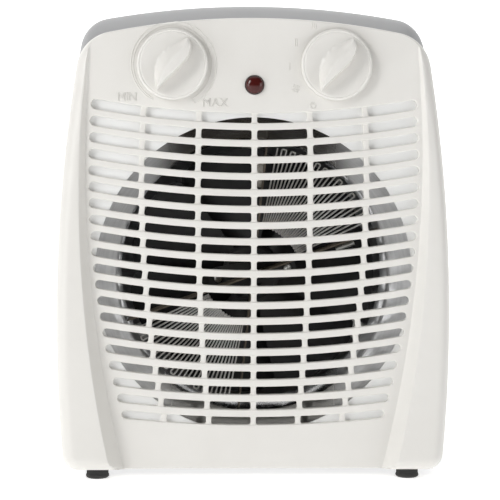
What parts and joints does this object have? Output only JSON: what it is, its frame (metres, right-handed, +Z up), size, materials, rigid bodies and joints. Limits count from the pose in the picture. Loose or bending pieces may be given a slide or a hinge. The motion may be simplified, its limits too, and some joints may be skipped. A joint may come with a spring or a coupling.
{
  "type": "fan heater",
  "caption": "Upright fan heater with a slotted front outlet, rear intake and finger grip, thermostat and function knobs, a neon lamp and a motor-driven fan.",
  "frame": {"origin": "on the ground at the middle of the overall box, under the feet", "axes": "+Z up, the front with the knobs and outlet faces -Y, +X to the right seen from the front"},
  "size_m": [0.24, 0.15, 0.292],
  "materials": {
    "white_plastic": "satin moulded",
    "grey_plastic": "satin moulded",
    "black_plastic": "moulded",
    "black_rubber": "moulded",
    "zinc_steel": "zinc plated",
    "bright_sheet": "bright rolled",
    "mica": "pressed sheet",
    "resistance_ribbon": "bare rolled ribbon",
    "ceramic_case": "unglazed",
    "lamination_steel": "stacked sheet",
    "enamelled_copper": "wound and varnished",
    "bronze": "sintered",
    "brass": "turned",
    "red_lens": "clear moulded"
  },
  "bodies": {
    "housing": {"front_shell": "white_plastic", "rear_shell": "grey_plastic", "cord_gland": "black_plastic", "element_clamp": "black_plastic", "thermostat_body": "black_plastic", "switch_body": "black_plastic", "lamp_body": "black_plastic", "foot_front_left": "black_rubber", "foot_front_right": "black_rubber", "foot_rear_left": "black_rubber", "foot_rear_right": "black_rubber", "shell_screw_1": "zinc_steel", "shell_screw_2": "zinc_steel", "shell_screw_3": "zinc_steel", "shell_screw_4": "zinc_steel", "clamp_screw_1": "zinc_steel", "clamp_screw_2": "zinc_steel", "bracket_screw_1": "zinc_steel", "bracket_screw_2": "zinc_steel", "bracket_screw_3": "zinc_steel", "motor_screw_1": "zinc_steel", "motor_screw_2": "zinc_steel", "motor_nut_1": "zinc_steel", "motor_nut_2": "zinc_steel", "motor_bracket": "zinc_steel", "thermal_fuse": "zinc_steel", "duct_ring": "bright_sheet", "mica_board_1": "mica", "mica_board_2": "mica", "heating_element_upper": "resistance_ribbon", "heating_element_lower": "resistance_ribbon", "thermal_cutout": "ceramic_case", "stator_core": "lamination_steel", "front_bearing_bracket": "lamination_steel", "rear_bearing_bracket": "lamination_steel", "stator_coil": "enamelled_copper", "front_bearing": "bronze", "rear_bearing": "bronze", "lamp_lens": "red_lens"},
    "thermostat_dial": {"thermostat_knob": "white_plastic", "thermostat_spindle": "brass"},
    "function_dial": {"function_knob": "white_plastic", "switch_spindle": "brass"},
    "fan": {"fan_impeller": "black_plastic", "motor_shaft": "zinc_steel", "impeller_clip": "zinc_steel", "rotor_core": "lamination_steel"}
  },
  "joints": [
    {"name": "thermostat_turn", "type": "hinge", "parent": "housing", "child": "thermostat_dial", "pos_m": [-0.0492, 0, 0.2534], "axis": [0, 1, 0], "range_deg": [0, 300]},
    {"name": "function_turn", "type": "hinge", "parent": "housing", "child": "function_dial", "pos_m": [0.0492, 0, 0.2534], "axis": [0, 1, 0], "range_deg": [0, 120]},
    {"name": "fan_spin", "type": "hinge", "parent": "housing", "child": "fan", "pos_m": [0, 0, 0.1252], "axis": [0, 1, 0], "continuous": true}
  ]
}
